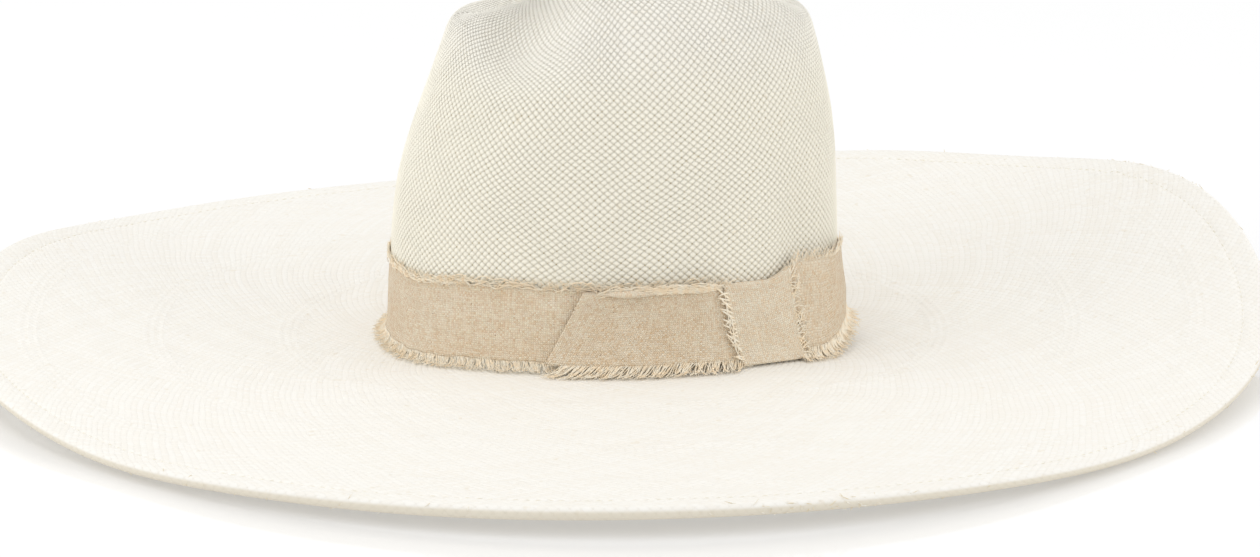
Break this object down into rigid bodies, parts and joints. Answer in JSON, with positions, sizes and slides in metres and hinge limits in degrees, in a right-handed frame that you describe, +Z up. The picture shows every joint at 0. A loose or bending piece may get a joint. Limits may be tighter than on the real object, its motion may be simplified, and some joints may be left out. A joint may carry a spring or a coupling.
{
  "type": "panama hat",
  "caption": "Wide-brim woven straw panama hat with a pinched crown, folded and wired brim edge, ribbon sweatband, and raw-edged linen hatband with a flat bow.",
  "frame": {"origin": "centre of the hat's outline, on the surface that the head opening rests on", "axes": "+Z up through the crown, -Y the front of the hat, +X the wearer's left, where the bow is"},
  "size_m": [0.5403, 0.5726, 0.1675],
  "materials": {
    "straw": "woven split straw, ivory, matt with a soft shine on each strand",
    "linen": "plain-weave natural linen with raw edges",
    "ribbon": "ribbed cotton ribbon",
    "thread": "cotton sewing thread",
    "wire": "drawn steel wire",
    "ferrule": "plain brass sleeve"
  },
  "bodies": {
    "root": {"straw_body": "straw", "brim_wire": "wire", "wire_joiner": "ferrule", "hem_thread": "thread", "sweatband": "ribbon", "sweatband_thread": "thread", "sweatband_seam_tape": "ribbon", "hatband": "linen", "bow": "linen", "bow_keeper": "linen", "band_tack_front": "thread", "band_tack_right": "thread", "band_tack_back": "thread", "bow_tack_front": "thread"}
  },
  "joints": []
}
